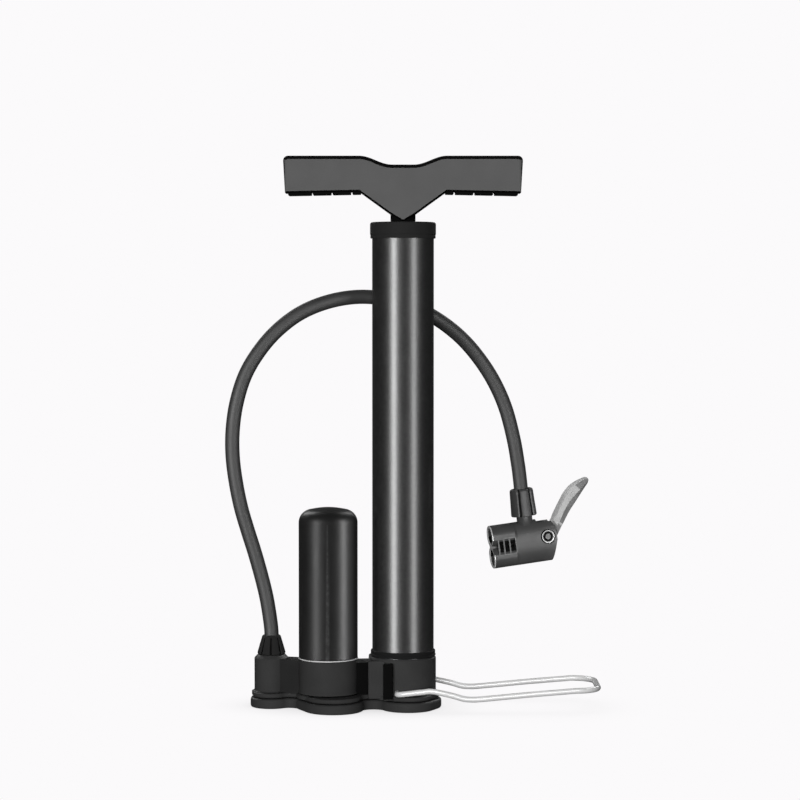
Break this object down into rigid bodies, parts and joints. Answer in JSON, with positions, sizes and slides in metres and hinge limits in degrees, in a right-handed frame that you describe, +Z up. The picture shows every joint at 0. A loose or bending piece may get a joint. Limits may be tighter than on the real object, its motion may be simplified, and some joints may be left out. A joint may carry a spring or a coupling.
{
  "type": "floor pump",
  "caption": "Hand-driven floor pump with T-handle, steel barrel, air reservoir, hose with twin-mouth lever head, and a folding wire foot stirrup.",
  "frame": {"origin": "on the barrel's axis, at the underside of the sole, where the pump rests on the floor", "axes": "+Z up along the barrel towards the handle, +X along the unfolded stirrup, +Y to the back"},
  "size_m": [0.2316, 0.0909, 0.3403],
  "materials": {
    "base_plastic": "fine moulded grain",
    "handle_plastic": "fine moulded grain",
    "barrel_paint": "semi-gloss black paint",
    "tank_paint": "satin black paint",
    "hose_rubber": "smooth rubber",
    "seal_rubber": "matte",
    "head_plastic": "satin",
    "lever_alloy": "satin grey",
    "bright_steel": "bright plated",
    "plain_steel": "zinc plated",
    "brass": "turned"
  },
  "bodies": {
    "base": {"base_housing": "base_plastic", "base_sole": "base_plastic", "channel_cover": "base_plastic", "sole_screw_barrel_front": "plain_steel", "sole_screw_barrel_rear": "plain_steel", "sole_screw_tank_front": "plain_steel", "sole_screw_tank_rear": "plain_steel", "barrel_tube": "barrel_paint", "barrel_seal": "seal_rubber", "barrel_collar": "seal_rubber", "top_cap": "base_plastic", "rod_bush": "brass", "tank_shell": "tank_paint", "tank_ring": "bright_steel", "tank_seal": "seal_rubber", "check_spring": "plain_steel", "hose": "hose_rubber", "hose_nut_base": "base_plastic", "outlet_fitting": "brass", "hose_nut_head": "head_plastic", "head_nipple": "brass", "head_body": "head_plastic", "mouth_seal_upper": "seal_rubber", "mouth_seal_lower": "seal_rubber", "lever_pin": "plain_steel"},
    "cup_seal": {"piston_cup": "seal_rubber"},
    "handle_assembly": {"piston_rod": "bright_steel", "piston_core": "base_plastic", "piston_washer": "plain_steel", "piston_nut": "plain_steel", "piston_bumper": "seal_rubber", "handle": "handle_plastic", "handle_under_cover_left": "base_plastic", "handle_under_cover_right": "base_plastic", "handle_nut": "plain_steel", "handle_plug": "handle_plastic"},
    "stirrup": {"stirrup": "bright_steel"},
    "lever": {"lever": "lever_alloy"},
    "clamp_yoke": {"clamp_yoke": "plain_steel"},
    "check_ball": {"check_ball": "bright_steel"}
  },
  "joints": [
    {"name": "handle_slide", "type": "slide", "parent": "base", "child": "cup_seal", "axis": [0, 0, 1], "range_m": [0, 0.24]},
    {"name": "handle_turn", "type": "hinge", "parent": "cup_seal", "child": "handle_assembly", "pos_m": [0, 0, 0.3], "axis": [0, 0, 1], "continuous": true},
    {"name": "stirrup_fold", "type": "hinge", "parent": "base", "child": "stirrup", "pos_m": [-0.0035, 0, 0.0114], "axis": [0, -1, 0], "range_deg": [-5.5, 77]},
    {"name": "lever_flip", "type": "hinge", "parent": "base", "child": "lever", "pos_m": [0.09061, 0.04565, 0.10218], "axis": [0.2199, -0.9755, 0], "range_deg": [-55, 30]},
    {"name": "yoke_slide", "type": "slide", "parent": "base", "child": "clamp_yoke", "axis": [-0.9683, -0.2182, -0.1219], "range_m": [-0.0009, 0.0005]},
    {"name": "check_ball_lift", "type": "slide", "parent": "base", "child": "check_ball", "axis": [0, 0, -1], "range_m": [0, 0.0015], "stiffness_N_per_m": 200, "springref_m": -0.002, "deforming": ["check_spring"]}
  ],
  "couplings": [
    {"joint": "yoke_slide", "follows": "lever_flip", "m_per_rad": 0.0009}
  ]
}
